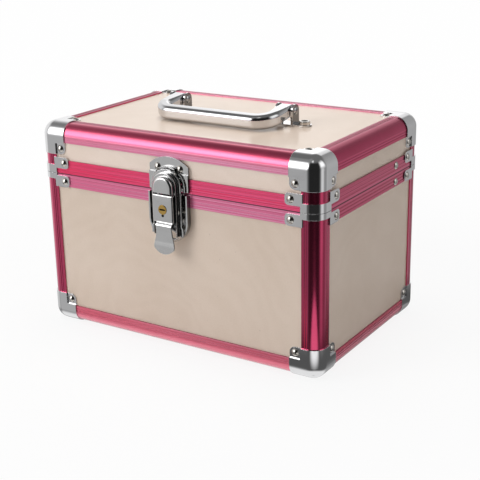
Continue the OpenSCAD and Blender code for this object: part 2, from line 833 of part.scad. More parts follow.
module arch(r, centre_z, bottom_z) {
    intersection() {
        translate([0, centre_z]) circle(r);
        translate([-r, centre_z]) square([2 * r, r]);
    }
    translate([-r, bottom_z]) square([2 * r, centre_z - bottom_z]);
}

module strike_plate() color(chrome) at_latch() difference() {
    union() {
        upright(-plate_t, plate_t) strike_outline();
        // raised lower part, open round the claw
        upright(-plate_t - strike_raise, strike_raise + eps) difference() {
            union() {
                intersection() {
                    strike_outline();
                    translate([-latch_half_w, 0]) square([2 * latch_half_w, strike_step]);
                }
                arch(surround_r, arch_z, strike_start);
            }
            arch(surround_r - plate_t, arch_z, strike_start - over);
            strike_rivets_flat();
        }
        upright(-plate_t - surround_h, surround_h - strike_raise + eps) difference() {
            arch(surround_r, arch_z, strike_start);
            arch(surround_r - plate_t, arch_z, strike_start - over);
            strike_rivets_flat();
        }
        // ledge that the claw pulls down on
        translate([-ledge_half_w, -ledge_out, ledge_top - ledge_h])
            cube([2 * ledge_half_w, ledge_out - plate_t + eps, ledge_h]);
    }
    strike_spots_local() hole(plate_t + strike_raise + 2 * over);
}

// Room for the rivet heads
module strike_rivets_flat() both_ends() translate([strike_rivet_x, strike_rivet_z])
    circle(head_r + head_gap);

module strike_spots_local() both_ends() translate([strike_rivet_x, 0, strike_rivet_z])
    rotate([90, 0, 0]) children();

// Shield outline with a round foot; an inset outline runs out at the top.
module base_outline(inset) {
    w = latch_half_w - inset;
    centre_z = latch_half_w - base_drop;
    intersection() {
        translate([0, centre_z]) circle(w);
        translate([-w, centre_z - w]) square([2 * w, w]);
    }
    translate([-w, centre_z]) square([2 * w, -centre_z - base_start + inset]);
}

module base_ear() difference() {
    union() {
        translate([pivot_y, -lever_pivot_drop]) circle(base_ear_r);
        translate([pivot_y, -lever_pivot_drop - base_ear_r])
            square([-pivot_y - plate_t + eps, base_ear_r + base_ear_top]);
    }
    translate([pivot_y, -lever_pivot_drop]) circle(latch_pin_r + pin_gap);
}

module latch_base() color(chrome) at_latch() difference() {
    union() {
        upright(-plate_t, plate_t) base_outline(0);
        upright(-plate_t - base_rim_h, base_rim_h + eps) difference() {
            base_outline(0);
            base_outline(base_rim_t);
        }
        both_ends() translate([base_ear_out - plate_t, 0, 0]) rotate([90, 0, 90])
            linear_extrude(plate_t) base_ear();
    }
    base_plate_spots_local() hole(base_rim_h + over);
}

module base_plate_spots_local() translate([0, 0, -seam_z]) base_plate_spots() rotate([90, 0, 0])
    children();

module latch_pivot_pin() color(chrome) at_latch() translate([0, pivot_y, -lever_pivot_drop])
    rotate([0, 90, 0]) cylinder(r = latch_pin_r, h = 2 * face_half_w, center = true);

// Outlines in the plane of the front, x and z
module lever_face() translate([-face_half_w, lever_bottom])
    square([2 * face_half_w, lever_top - lever_bottom]);

module tab_outline() {
    root_z = lever_bottom + tab_lap;
    polygon([[-tab_half_w, root_z], [tab_half_w, root_z], [tab_half_w, tab_top],
        [flare_half_w, flare_z], [-flare_half_w, flare_z], [-tab_half_w, tab_top]]);
    intersection() {
        translate([0, tab_bottom + tab_round]) circle(tab_round);
        translate([-flare_half_w, tab_bottom]) square([2 * flare_half_w, flare_z - tab_bottom]);
    }
}

module lever_flange() difference() {
    union() {
        translate([face_y, lever_bottom])
            square([lever_deep, lever_top - lever_bottom - lever_lip_h + lap]);
        translate([pivot_y, -lever_pivot_drop]) circle(lever_eye_r);
        translate([face_y, lever_top - lever_lip_h]) square([lever_lip_w, lever_lip_h]);
    }
    translate([pivot_y, -lever_pivot_drop]) circle(latch_pin_r + pin_gap);
    translate([claw_pivot_y, -claw_pivot_drop]) circle(latch_pin_r + pin_gap);
}

module latch_lever() color(chrome) at_latch() difference() {
    union() {
        upright(face_y, plate_t) lever_face();
        both_ends() translate([face_half_w - plate_t, 0, 0]) rotate([90, 0, 90])
            linear_extrude(plate_t) lever_flange();
        upright(face_y + tab_back, plate_t) tab_outline();
        // sleeve of the lock
        translate([0, 0, lock_z]) rotate([-90, 0, 0]) translate([0, 0, face_y])
            cylinder(r = sleeve_r, h = sleeve_l);
    }
    translate([0, face_y - over, lock_z]) rotate([-90, 0, 0])
        cylinder(r = plug_r + pin_gap, h = sleeve_l + 2 * over);
    translate([0, face_y - over, mark_z]) rotate([-90, 0, 0])
        cylinder(r = mark_r, h = plate_t + 2 * over);
}

module claw_arm(top) difference() {
    union() {
        translate([claw_arch_y - plate_t, arm_bottom]) square([arm_deep, top - arm_bottom]);
        translate([claw_pivot_y, -claw_pivot_drop]) circle(arm_eye_r);
    }
    translate([claw_pivot_y, -claw_pivot_drop]) circle(latch_pin_r + pin_gap);
}

// The flange runs down beside the lever and ends in a prong.
module prong_outline() {
    translate([arm_in, arm_bottom]) square([flange_r - arm_in, claw_start - arm_bottom + eps]);
    translate([arm_in, arm_bottom]) square([prong_out - arm_in, prong_h]);
}

module latch_claw() color(chrome) at_latch() {
    dome_z = claw_top - face_half_w;
    difference() {
        union() {
            // raised face with its skirt
            upright(face_y, claw_arch_y - face_y) arch(face_half_w, dome_z, claw_start);
            // arch flange
            upright(claw_arch_y - plate_t, plate_t) arch(flange_r, arch_z, claw_start);
            both_ends() upright(claw_arch_y - plate_t, plate_t) prong_outline();
        }
        // hollow behind the face
        upright(face_y + plate_t, claw_arch_y - face_y + over)
            arch(face_half_w - plate_t, dome_z, claw_start - over);
    }
    both_ends() translate([arm_in, 0, 0]) rotate([90, 0, 90]) linear_extrude(plate_t)
        claw_arm(dome_z);
    // bar that hooks over the strike's ledge
    translate([-face_half_w + plate_t - eps, face_y + plate_t - eps, ledge_top + ledge_gap])
        cube([2 * (face_half_w - plate_t + eps), claw_bar_w, plate_t]);
}

module claw_rivets() color(chrome) at_latch() both_ends()
    translate([0, claw_pivot_y, -claw_pivot_drop]) rotate([0, 90, 0]) {
        translate([0, 0, claw_tail_x]) {
            cylinder(r = claw_tail_r, h = claw_tail_t);
            cylinder(r = latch_pin_r, h = arm_out + claw_head_h / 2 - claw_tail_x);
        }
        translate([0, 0, arm_out + lap]) rotate_extrude() dome(claw_head_r, claw_head_h);
    }

module lock_plug() color(brass) at_latch() translate([0, face_y - plug_out, lock_z])
    rotate([-90, 0, 0]) difference() {
        union() {
            cylinder(r = plug_r, h = plug_l);
            translate([-cam_w / 2, 0, plug_l - cam_lap]) cube([cam_w, cam_l, plate_t]);
        }
        translate([-key_slot_l / 2, -key_slot_t / 2, -over])
            cube([key_slot_l, key_slot_t, key_slot_d + over]);
    }

// ---- the assembly ----

base_panel();
body_panel("front");  // body_front_panel
body_panel("right");  // body_right_panel
body_panel("back");  // body_back_panel
body_panel("left");  // body_left_panel
base_edge("front");  // base_edge_front
base_edge("right");  // base_edge_right
base_edge("back");  // base_edge_back
base_edge("left");  // base_edge_left
post("front");  // post_front_left
post("right");  // post_front_right
post("back");  // post_back_right
post("left");  // post_back_left
body_rim("front");  // body_rim_front
body_rim("right");  // body_rim_right
body_rim("back");  // body_rim_back
body_rim("left");  // body_rim_left
base_cap("front");  // base_cap_front_left
base_cap("right");  // base_cap_front_right
base_cap("back");  // base_cap_back_right
base_cap("left");  // base_cap_back_left
body_brackets();
body_rivets();
body_lining();
latch_base();
latch_pivot_pin();
hinge_body_leaves();
hinge_pins();
top_panel();
lid_panel("front");  // lid_front_panel
lid_panel("right");  // lid_right_panel
lid_panel("back");  // lid_back_panel
lid_panel("left");  // lid_left_panel
top_edge("front");  // top_edge_front
top_edge("right");  // top_edge_right
top_edge("back");  // top_edge_back
top_edge("left");  // top_edge_left
lid_rim("front");  // lid_rim_front
lid_rim("right");  // lid_rim_right
lid_rim("back");  // lid_rim_back
lid_rim("left");  // lid_rim_left
lid_posts();
top_cap("front");  // top_cap_front_left
top_cap("right");  // top_cap_front_right
top_cap("back");  // top_cap_back_right
top_cap("left");  // top_cap_back_left
lid_brackets();
lid_rivets();
lid_lining();
strike_plate();
hinge_lid_leaves();
handle_brackets();
handle_pins();
handle();
lid_stay();
latch_lever();
latch_claw();
claw_rivets();
lock_plug();
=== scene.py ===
import math

import bmesh
import bpy
from mathutils import Matrix, Vector


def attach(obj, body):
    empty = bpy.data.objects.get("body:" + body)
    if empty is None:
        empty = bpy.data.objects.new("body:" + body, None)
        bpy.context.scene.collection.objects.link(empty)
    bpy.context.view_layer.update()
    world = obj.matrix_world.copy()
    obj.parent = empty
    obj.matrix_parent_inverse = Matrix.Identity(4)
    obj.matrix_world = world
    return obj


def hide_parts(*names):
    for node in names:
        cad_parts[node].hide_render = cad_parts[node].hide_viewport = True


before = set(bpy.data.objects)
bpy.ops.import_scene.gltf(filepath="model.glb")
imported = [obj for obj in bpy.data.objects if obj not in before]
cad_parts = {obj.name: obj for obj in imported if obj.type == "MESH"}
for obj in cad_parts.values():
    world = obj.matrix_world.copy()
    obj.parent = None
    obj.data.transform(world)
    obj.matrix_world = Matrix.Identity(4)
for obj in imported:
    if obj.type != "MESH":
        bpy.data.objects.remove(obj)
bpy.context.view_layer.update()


class Sock:  # one output of a node, so that a sum on it reads as a sum
    def __init__(self, tree, out):
        self.tree, self.out = tree, out

    def __add__(self, other):
        return self.tree.math("ADD", self, other)

    def __sub__(self, other):
        return self.tree.math("SUBTRACT", self, other)

    def __rsub__(self, other):
        return self.tree.math("SUBTRACT", other, self)

    def __mul__(self, other):
        return self.tree.math("MULTIPLY", self, other)

    __radd__ = __add__
    __rmul__ = __mul__


class Tree:  # a node tree, with one way of making nodes
    def __init__(self, nodeTree):
        self.nodeTree = nodeTree

    def node(self, kind, settings=None, sockets=None, out=0):
        made = self.nodeTree.nodes.new("ShaderNode" + kind)
        for key, value in (settings or {}).items():
            setattr(made, key, value)
        for key, value in (sockets or {}).items():
            self.feed(made.inputs[key], value)
        return Sock(self, made.outputs[out])

    def feed(self, socket, value):
        if isinstance(value, Sock):
            self.nodeTree.links.new(value.out, socket)
        else:
            socket.default_value = value

    def split(self, coords):  # x, y and z of a vector
        parts = self.node("SeparateXYZ", None, {0: coords}).out.node.outputs
        return [Sock(self, part) for part in parts]

    def rays(self):  # 1 for what the camera sees itself, and 1 for what metal mirrors
        path = self.node("LightPath").out.node.outputs
        return Sock(self, path["Is Camera Ray"]), Sock(self, path["Is Glossy Ray"])

    def math(self, operation, first, second=0.0):
        return self.node("Math", {"operation": operation}, {0: first, 1: second})

    def vector(self, operation, first, second=(0, 0, 0), out=0):
        return self.node("VectorMath", {"operation": operation}, {0: first, 1: second}, out)

    def scaled(self, coords, factors):
        return self.vector("MULTIPLY", coords, factors)

    def length(self, coords):
        return self.vector("LENGTH", coords, out=1)

    def dot(self, first, second):
        return self.vector("DOT_PRODUCT", first, second, out=1)

    def noise(self, coords, scale=1.0, detail=2.0, rough=0.5, distort=0.0, out=0):
        return self.node("TexNoise", None, {"Vector": coords, "Scale": scale, "Detail": detail,
                                            "Roughness": rough, "Distortion": distort}, out)

    def span(self, value, low, high, toLow=0.0, toHigh=1.0):  # a soft step from low to high
        return self.node("MapRange", {"interpolation_type": "SMOOTHSTEP"},
                         {0: value, 1: low, 2: high, 3: toLow, 4: toHigh})

    def blend(self, mask, first, second):
        return self.node("Mix", {"data_type": "RGBA"}, {0: mask, 6: first, 7: second}, out=2)


class Finish(Tree):  # one material
    def __init__(self, name, **fixed):
        self.material = bpy.data.materials.new(name)
        self.material.use_nodes = True
        super().__init__(self.material.node_tree)
        self.shader = self.nodeTree.nodes["Principled BSDF"]
        self.set(**fixed)
        self.coords = self.node("TexCoord", out=3)

    def set(self, **values):
        for key, value in values.items():
            self.feed(self.shader.inputs[key.replace("_", " ")], value)
        return self.material

    def facing(self, power):  # how far a wall faces along x, y and z, sharper with more power
        normal = self.vector("ABSOLUTE", self.node("TexCoord", out=1))
        return self.vector("POWER", normal, (power,) * 3)

    def bump(self, height, strength, distance, edge=0.0):
        sockets = {"Height": height, "Strength": strength, "Distance": distance}
        if edge:  # soft edges, where pressed metal is rounded
            sockets["Normal"] = self.node("Bevel", {"samples": 4}, {"Radius": edge})
        return self.node("Bump", None, sockets)


def rgb(code):  # a colour as seen on screen, to the linear values that shaders use
    parts = [int(code[k:k + 2], 16) / 255 for k in (0, 2, 4)]
    linear = [p / 12.92 if p <= 0.04045 else ((p + 0.055) / 1.055) ** 2.4 for p in parts]
    return tuple(linear) + (1.0,)


cameraView = {  # fitted to the case's edges in the photograph
    "place": (0.43138, -0.66089, 0.33065),
    "turn": -32.617,  # degrees, from +Y
    "dip": 18.795,
    "roll": -1.146,
    "lens": 80.216,
    "sensor": 36,
    "nearest": 0.01,
}


def makeCamera(view):
    turn, dip, roll = (math.radians(view[k]) for k in ("turn", "dip", "roll"))
    level = math.cos(dip)
    ahead = Vector((math.sin(turn) * level, math.cos(turn) * level, -math.sin(dip)))
    right = ahead.cross(Vector((0, 0, 1))).normalized()
    up = right.cross(ahead)
    across = right * math.cos(roll) + up * math.sin(roll)
    over = up * math.cos(roll) - right * math.sin(roll)
    camera = bpy.data.objects.new("camera", bpy.data.cameras.new("camera"))
    bpy.context.scene.collection.objects.link(camera)
    rotation = Matrix((across, over, -ahead)).transposed().to_4x4()
    camera.matrix_world = Matrix.Translation(view["place"]) @ rotation
    camera.data.lens = view["lens"]
    camera.data.sensor_width = view["sensor"]
    camera.data.clip_start = view["nearest"]
    bpy.context.scene.camera = camera


makeCamera(cameraView)

room = {
    "floorHalf": 6,
    "floorShade": (0.86, 0.86, 0.86, 1.0),
    "floorRough": 0.9,
    "floorGloss": 0.1,
    "floorGlow": (0.88, 0.99),  # to the camera: beside the case, and far from it
    "floorGlowAt": (0.15, 0.55),
    "skyLight": 0.27,
    "lamps": [
        # name, place, size, watts
        ("front left lamp", (-0.8, -1.1, 0.75), 0.8, 8.6),
        ("top lamp", (-0.1, 0.1, 1.5), 1.0, 12.2),
        ("right lamp", (1.5, 0.1, 0.7), 0.8, 1.3),
    ],
    "lampAim": (0, 0, 0.08),
    # what metal sees of the room: a dim level, and panels of light on it
    "dim": 0.16,
    # from and to in degrees of azimuth (0 = in front, 90 = right), the same of height,
    # softness, light added
    "panels": [
        (-155, -68, -24, 40, 14, 0.75),
        (-62, -24, -34, -2, 8, 0.3),
        (-62, -22, -3, 42, 8, 1.2),
        (-54, -33, 2, 36, 7, 1.6),
        (-37, -18, 6, 30, 6, 2.4),
        (78, 122, 12, 48, 12, 1.1),
        (76, 150, -26, 14, 16, 0.14),
        (80, 104, -24, 6, 8, 0.42),
        (134, 180, -30, 34, 14, 0.22),
        (-178, -144, 10, 36, 6, 0.5),
        (-180, -140, -30, 34, 14, 0.25),
        (-4, 20, 54, 70, 8, 0.8),
        (-66, -10, 44, 78, 10, 0.1),
        (22, 43, -31, -24, 5, 0.9),
        (-180, 180, -90, -40, 10, 0.75),
    ],
    # the dark side of the room, with the share of light that it takes away
    "shadeBox": (-14, 72, -26, 52, 11, 0.88),
    # what low metal sees of the floor: a dim border round the case, a painted shadow of the case,
    # and a bright spot before its corner, a painted pool of light
    "footprint": (0.12, 0.08, 0),
    "borderDim": 0.1,
    "borderWidth": (0.03, 0.09),
    "borderStart": (0.004, 0.014),
    "borderLeft": (-0.06, 0.06),  # it fades out to the left
    "spotMiddle": (0.1675, -0.153, 0.0),
    "spotAlong": (0.539, -0.842, 0.0),
    "spotSize": (0.07, 0.045),
    "spotFade": (0.5, 1.3),
}


def boxGlow(tree, azimuth, height, box):
    start, end, low, high, soft, strength = box
    mask = tree.span(height, low - soft, low + soft) * tree.span(height, high + soft, high - soft)
    for at, side in ((start, 1), (end, -1)):
        if abs(at) < 180:  # at 180 the azimuth ends, and the box has no edge there
            mask = mask * tree.span(azimuth, at - side * soft, at + side * soft)
    return mask * strength


def makeWorld(room):
    world = bpy.data.worlds.new("room")
    bpy.context.scene.world = world
    world.use_nodes = True
    tree = Tree(world.node_tree)
    x, y, z = tree.split(tree.node("TexCoord"))
    azimuth = tree.math("ARCTAN2", x, 0 - y) * (180 / math.pi)
    height = tree.math("ARCSINE", z) * (180 / math.pi)
    glow = room["dim"]
    for panel in room["panels"]:
        glow = boxGlow(tree, azimuth, height, panel) + glow
    glow = glow * (1 - boxGlow(tree, azimuth, height, room["shadeBox"]))
    camera, glossy = tree.rays()
    level = glossy * (glow - room["skyLight"]) + room["skyLight"]
    level = camera * (1 - level) + level  # white behind the case
    background = world.node_tree.nodes["Background"]
    tree.feed(background.inputs["Color"], (1, 1, 1, 1))
    tree.feed(background.inputs["Strength"], level)


def makeLamps(room):
    for name, place, size, watts in room["lamps"]:
        light = bpy.data.lights.new(name, "AREA")
        light.shape, light.size, light.energy = "SQUARE", size, watts
        lamp = bpy.data.objects.new(name, light)
        bpy.context.scene.collection.objects.link(lamp)
        lamp.location = place
        towards = Vector(room["lampAim"]) - Vector(place)
        lamp.rotation_euler = towards.to_track_quat("-Z", "Y").to_euler()
        lamp.visible_glossy = False


# the floor as metal sees it glows, with a painted shadow round the case and a painted pool of
# light
def floorSeenByMetal(paint, room):
    spot, dim = room["spotAlong"], room["borderDim"]
    outside = paint.vector("SUBTRACT", paint.vector("ABSOLUTE", paint.coords), room["footprint"])
    seamShadow = paint.length(paint.vector("MAXIMUM", outside))
    border = (1 - paint.span(seamShadow, *room["borderWidth"])) * paint.span(seamShadow, *room["borderStart"])
    border = border * paint.span(paint.split(paint.coords)[0], *room["borderLeft"])
    fromSpot = paint.vector("SUBTRACT", paint.coords, room["spotMiddle"])
    along = paint.dot(fromSpot, spot) * (1 / room["spotSize"][0])
    across = paint.dot(fromSpot, (-spot[1], spot[0], 0)) * (1 / room["spotSize"][1])
    bright = 1 - paint.span(along * along + across * across, *room["spotFade"])
    covered = border + bright - border * bright
    glow = paint.node("Emission", None, {"Strength": bright * (1 - dim) + dim})
    return paint.node("MixShader", None, {0: covered, 1: paint.node("BsdfTransparent"), 2: glow})


def makeFloor(room):
    half = room["floorHalf"]
    corners = [(-half, -half, 0), (half, -half, 0), (half, half, 0), (-half, half, 0)]
    mesh = bpy.data.meshes.new("floor")
    mesh.from_pydata(corners, [], [(0, 1, 2, 3)])
    floor = bpy.data.objects.new("floor", mesh)
    bpy.context.scene.collection.objects.link(floor)
    paint = Finish("floorPaint", Base_Color=room["floorShade"], Roughness=room["floorRough"],
                   Specular_IOR_Level=room["floorGloss"])
    camera, glossy = paint.rays()
    shown = paint.span(paint.length(paint.coords), *room["floorGlowAt"], *room["floorGlow"])
    painted = Sock(paint, paint.shader.outputs[0])
    glowing = paint.node("Emission", None, {"Color": (1, 1, 1, 1)})
    seen = paint.node("MixShader", None, {0: camera * shown, 1: painted, 2: glowing})
    both = paint.node("MixShader", None, {0: glossy, 1: seen, 2: floorSeenByMetal(paint, room)})
    paint.feed(paint.nodeTree.nodes["Material Output"].inputs["Surface"], both)
    mesh.materials.append(paint.material)


makeWorld(room)
makeLamps(room)
makeFloor(room)
print("room: floor and", len(room["lamps"]), "lamps")

# anodised sections: round parts take pink and deep, flats take flat with pale raised lines; the
# lines are the die lines, their paleness a painted highlight
postLook = {
    "pink": rgb("DE4A76"),
    "deep": rgb("CE3E69"),
    "flat": rgb("D64571"),
    "flatPale": rgb("E8608A"),
    "levelShade": rgb("A83A5C"),  # painted shade: what lies level is painted darker
    "flatMetal": 1.0,
    "roundMetal": 1.0,
    "coat": 0.6,
    "coatIor": 1.5,
    "coatRough": 0.16,
    "rough": 0.17,
    "streakRough": 0.14,
    "smudgeRough": 0.08,
    # patterns drawn out along the piece: how fine across it and along it, detail, roughness
    "lines": (1 / 0.00035, 2.0, 3, 0.6),
    "stripes": (1 / 0.0009, 0.5, 1, 0.5),
    "bands": (90.0, 1.5, 2, 0.5),
    # patterns that run no special way: scale, detail, roughness
    "clouds": (26, 3, 0.5),
    "smudges": (60, 6, 0.7),
    # where each pattern starts to show, and where it is full
    "toneEdge": (0.35, 0.65),
    "smudgeEdge": (0.55, 0.75),
    "stripeEdge": (0.4, 0.62),
    "lineDepth": 0.00008,
    "smoothShare": 0.25,  # of the lines' depth, on the rounded part
    "sharpFacing": 40,
    "facingEdge": (0.6, 0.9),
}
# the front top edge, rims and base edge take lighter, paler flats than the posts: painted
# highlight of the light their fine lines catch, and on the base edge a painted reflection of the
# white floor
topEdgeLook = dict(postLook, pink=(0.95, 0.075, 0.215, 1), deep=(0.84, 0.06, 0.18, 1),
                   flat=(0.88, 0.2, 0.36, 1), flatPale=(1.0, 0.38, 0.6, 1), flatMetal=0.5,
                   coat=0.9, coatIor=1.8, rough=0.3, lineDepth=0.00005)
# painted shade: the side pieces of the top edge take darker pinks than the front
shadedSideEdgeLook = dict(postLook, pink=rgb("CC4570"), deep=rgb("BE3A62"), coat=0.25, rough=0.34,
                    lineDepth=0.00003)
baseEdgeLook = dict(postLook, pink=(0.95, 0.2, 0.3, 1), deep=(0.88, 0.16, 0.25, 1),
                    flat=(0.85, 0.13, 0.21, 1), flatPale=(1.0, 0.32, 0.44, 1), flatMetal=0.35,
                    roundMetal=0.35, lineDepth=0.00005)
lidRimLook = dict(postLook, flat=(0.93, 0.035, 0.14, 1), flatPale=(1.0, 0.12, 0.29, 1),
                  flatMetal=0.4, roundMetal=0.4, coat=0.4, rough=0.3, lineDepth=0.00004)
bodyRimLook = dict(lidRimLook, flat=(0.85, 0.16, 0.33, 1), flatPale=(1.0, 0.44, 0.68, 1), coat=1.0)
sideRimLook = dict(postLook, lineDepth=0.00005)

stripeHighlightFade = (-0.1, 0.03, 0.25, 1.0)  # from x to x, and how strongly the stripes show there: their painted highlight fades out to the left

# a painted shadow darkens the sections along the seam between lid and body
seam = {
    "height": 0.1212,
    "shadow": (0.0002, 0.0006),  # from here the painted shadow of the seam fades to here
    "shade": (0.2, 0.03, 0.06, 1),
}


def sectionFinish(name, along, look):  # anodised extrusion, with die lines that run along it
    f = Finish(name, Coat_Roughness=look["coatRough"], Coat_IOR=look["coatIor"])

    def drawnOut(pattern):
        fine, slow, detail, rough = look[pattern]
        scale = [fine] * 3
        scale[along] = slow
        return f.noise(f.scaled(f.coords, scale), detail=detail, rough=rough)

    lines = drawnOut("lines")
    clouds, smudges = (f.noise(f.coords, *look[pattern]) for pattern in ("clouds", "smudges"))
    tone = f.span(drawnOut("bands") * 0.5 + clouds * 0.5, *look["toneEdge"])
    smudges = f.span(smudges, *look["smudgeEdge"])
    aside, _, up = f.split(f.coords)
    stripe = f.span(drawnOut("stripes"), *look["stripeEdge"]) * f.span(aside, *stripeHighlightFade)
    facing = f.facing(look["sharpFacing"])
    flat, upright, level = (f.span(f.dot(facing, axes), *look["facingEdge"])
                            for axes in ((1, 1, 1), (1, 1, 0), (0, 0, 1)))
    depth = flat * (1 - look["smoothShare"]) + look["smoothShare"]
    colour = f.blend(upright, f.blend(tone, look["deep"], look["pink"]),
                     f.blend(stripe, look["flat"], look["flatPale"]))
    # painted shade: faces that lie level are painted darker
    colour = f.blend(level, colour, look["levelShade"])
    # painted shadow of the seam, blended into the colour below
    seamShadow = f.span(f.math("ABSOLUTE", up - seam["height"]), *seam["shadow"])
    rough = look["rough"] + look["streakRough"] * (lines - 0.5) + smudges * look["smudgeRough"]
    return f.set(Base_Color=f.blend(seamShadow, seam["shade"], colour), Roughness=rough,
                 Coat_Weight=look["coat"] * (1 - level),
                 Metallic=upright * (look["flatMetal"] - look["roundMetal"]) + look["roundMetal"],
                 Normal=f.bump(lines * depth, 1.0, look["lineDepth"]))


boardLook = {
    "cream": rgb("EAD8C8"),
    "shade": rgb("DFCBB9"),
    "speck": rgb("A08E7C"),
    "speckShare": 0.25,
    # scale, detail, roughness
    "warp": (14, 3, 0.55),
    "grain": (1400, 3, 0.7),
    "specks": (420, 1),
    "speckEdge": (0.78, 0.84),
    "swirl": {"Scale": 26.0, "Distortion": 6.0, "Detail": 2.0, "Detail Scale": 1.2},
    "driftScale": 16,
    "drift": 0.05,
    "toneShares": (0.05, 0.6, 0.35),  # swirl, warp, grain
    "toneEdge": (0.25, 0.75),
    "rough": 0.34,
    "roughShares": (0.12, 0.08),  # grain, warp
    "coat": 0.28,
    "coatShare": 0.1,
    "coatRough": 0.12,
    "coatIor": 1.45,
    "bump": 0.1,
    "bumpShares": (0.3, 0.7),  # swirl, grain
    "bumpDepth": 0.00012,
}
# the lid's front board takes a lighter copy of the laminate: painted light
litBoardLook = dict(boardLook, cream=rgb("FBE9DC"), shade=rgb("F0DCCC"))


def boardFinish(name, look):  # pearly laminate: faint swirls, fine grain, a few specks
    f = Finish(name, Coat_Roughness=look["coatRough"], Coat_IOR=look["coatIor"])
    warp, grain, specks = (f.noise(f.coords, *look[k]) for k in ("warp", "grain", "specks"))
    drift = f.scaled(f.noise(f.coords, look["driftScale"], out=1), (look["drift"],) * 3)
    swirl = f.node("TexWave", {"wave_type": "RINGS", "rings_direction": "SPHERICAL"},
                   dict(look["swirl"], Vector=f.vector("ADD", f.coords, drift)), out=1)
    swirl = f.span(swirl, 0.0, 1.0)
    shares, roughShares, bumpShares = look["toneShares"], look["roughShares"], look["bumpShares"]
    tone = swirl * shares[0] + warp * shares[1] + grain * shares[2]
    specks = f.span(specks, *look["speckEdge"]) * look["speckShare"]
    colour = f.blend(f.span(tone, *look["toneEdge"]), look["shade"], look["cream"])
    height = swirl * bumpShares[0] + grain * bumpShares[1]
    return f.set(Base_Color=f.blend(specks, colour, look["speck"]),
                 Roughness=look["rough"] + grain * roughShares[0] + warp * roughShares[1],
                 Coat_Weight=look["coat"] + warp * look["coatShare"],
                 Normal=f.bump(height, look["bump"], look["bumpDepth"]))


# bright plating, where edge is the rounding of a pressed edge; shade darkens the walls that
# face along x, y or z, because they stand close to their neighbours
plates = {
    "capPlating": {"tint": (0.8, 0.8, 0.81), "rough": 0.05, "haze": 0.06},
    "bracketPlating": {"tint": (0.8, 0.8, 0.81), "rough": 0.05, "haze": 0.07, "edge": 0.0003},
    "latchPlating": {"tint": (0.8, 0.8, 0.8), "rough": 0.08, "haze": 0.09, "edge": 0.0003,
                     "shade": (0.75, 0, 0)},
    "strikePlating": {"tint": (0.8, 0.8, 0.8), "rough": 0.08, "haze": 0.09, "edge": 0.0003,
                      "shade": (0.9, 0, 0.8)},
    # its dark spot is painted shade in the gap under the lock plug
    "leverPlating": {"tint": (0.78, 0.78, 0.78), "rough": 0.08, "haze": 0.09, "edge": 0.0003,
                     "shade": (0.75, 0, 0),
                     "paintedHoleShade": {"middle": (0, -0.0868, 0.1061), "half": (0.0003, 0.002, 0.0003),
                                 "fade": (0.0006, 0.0009)}},
    "handlePlating": {"tint": (0.68, 0.68, 0.69), "rough": 0.04, "haze": 0.06, "wave": 0.8},
    "rivetPlating": {"tint": (0.6, 0.57, 0.53), "rough": 0.12, "haze": 0.1},
    # its dark spot is painted shade in the key slot
    "plugBrass": {"tint": (0.72, 0.47, 0.14), "rough": 0.12, "haze": 0.08,
                  "paintedHoleShade": {"middle": (0, -0.0871, 0.1104), "half": (0.0019, 0.01, 0.0004),
                              "fade": (0.0001, 0.0004)}},
}
plateWear = {
    # scale, detail, roughness, distortion
    "smears": (38, 5, 0.62, 0.6),
    "pits": (1100, 1),
    "waves": (55, 2),
    "hair": (1, 4, 0.65),
    "hairStretch": (900, 140, 420),
    "smearEdge": (0.45, 0.75),
    "pitEdge": (0.74, 0.82),
    "dullTint": (0.82, 0.81, 0.8),
    "dullShares": (0.35, 0.3),  # smears, pits
    "hairRough": 0.06,
    "hairHeight": 0.3,
    "pitHeight": 0.6,
    "bump": 0.1,
    "bumpDepth": 0.00008,
    "paintedHoleShadeColour": (0.01, 0.008, 0.004, 1),
    "wallShade": (0.02, 0.02, 0.02, 1),
    "wallFacing": 4,
}


# smears, pits and hair scratches
def plateFinish(name, tint, rough, haze, wave=0.0, edge=0.0004, shade=None, paintedHoleShade=None):
    f, wear = Finish(name, Metallic=1.0), plateWear
    smears, pits, waves = (f.noise(f.coords, *wear[k]) for k in ("smears", "pits", "waves"))
    hair = f.noise(f.scaled(f.coords, wear["hairStretch"]), *wear["hair"])
    smears, pits = f.span(smears, *wear["smearEdge"]), f.span(pits, *wear["pitEdge"])
    height = hair * wear["hairHeight"] - pits * wear["pitHeight"] + waves * wave
    dullTint = tuple(part * share for part, share in zip(tint, wear["dullTint"]))
    bySmear, byPit = wear["dullShares"]
    colour = f.blend(smears * bySmear + pits * byPit, tint + (1,), dullTint + (1,))
    # painted shade round a hole
    if paintedHoleShade:
        fromKey = f.vector("ABSOLUTE", f.vector("SUBTRACT", f.coords, paintedHoleShade["middle"]))
        nearKey = f.length(f.vector("MAXIMUM", f.vector("SUBTRACT", fromKey, paintedHoleShade["half"])))
        colour = f.blend(1 - f.span(nearKey, *paintedHoleShade["fade"]), colour, wear["paintedHoleShadeColour"])
    if shade:
        walls = f.dot(f.facing(wear["wallFacing"]), shade)
        colour = f.blend(walls, colour, wear["wallShade"])
    return f.set(Base_Color=colour,
                 Roughness=rough + haze * smears + (hair - 0.5) * wear["hairRough"],
                 Normal=f.bump(height, wear["bump"], wear["bumpDepth"], edge))


flockLook = {
    "dark": rgb("1E1B1D"),
    "light": rgb("3E393C"),
    # scale, detail, roughness
    "pile": (2600, 4, 0.8),
    "wear": (22, 4, 0.6),
    "shares": (0.6, 0.4),  # pile, wear
    "rough": 0.95,
    "gloss": 0.2,
    "sheen": 0.35,
    "sheenRough": 0.5,
    "bump": 0.5,
    "bumpDepth": 0.0004,
}


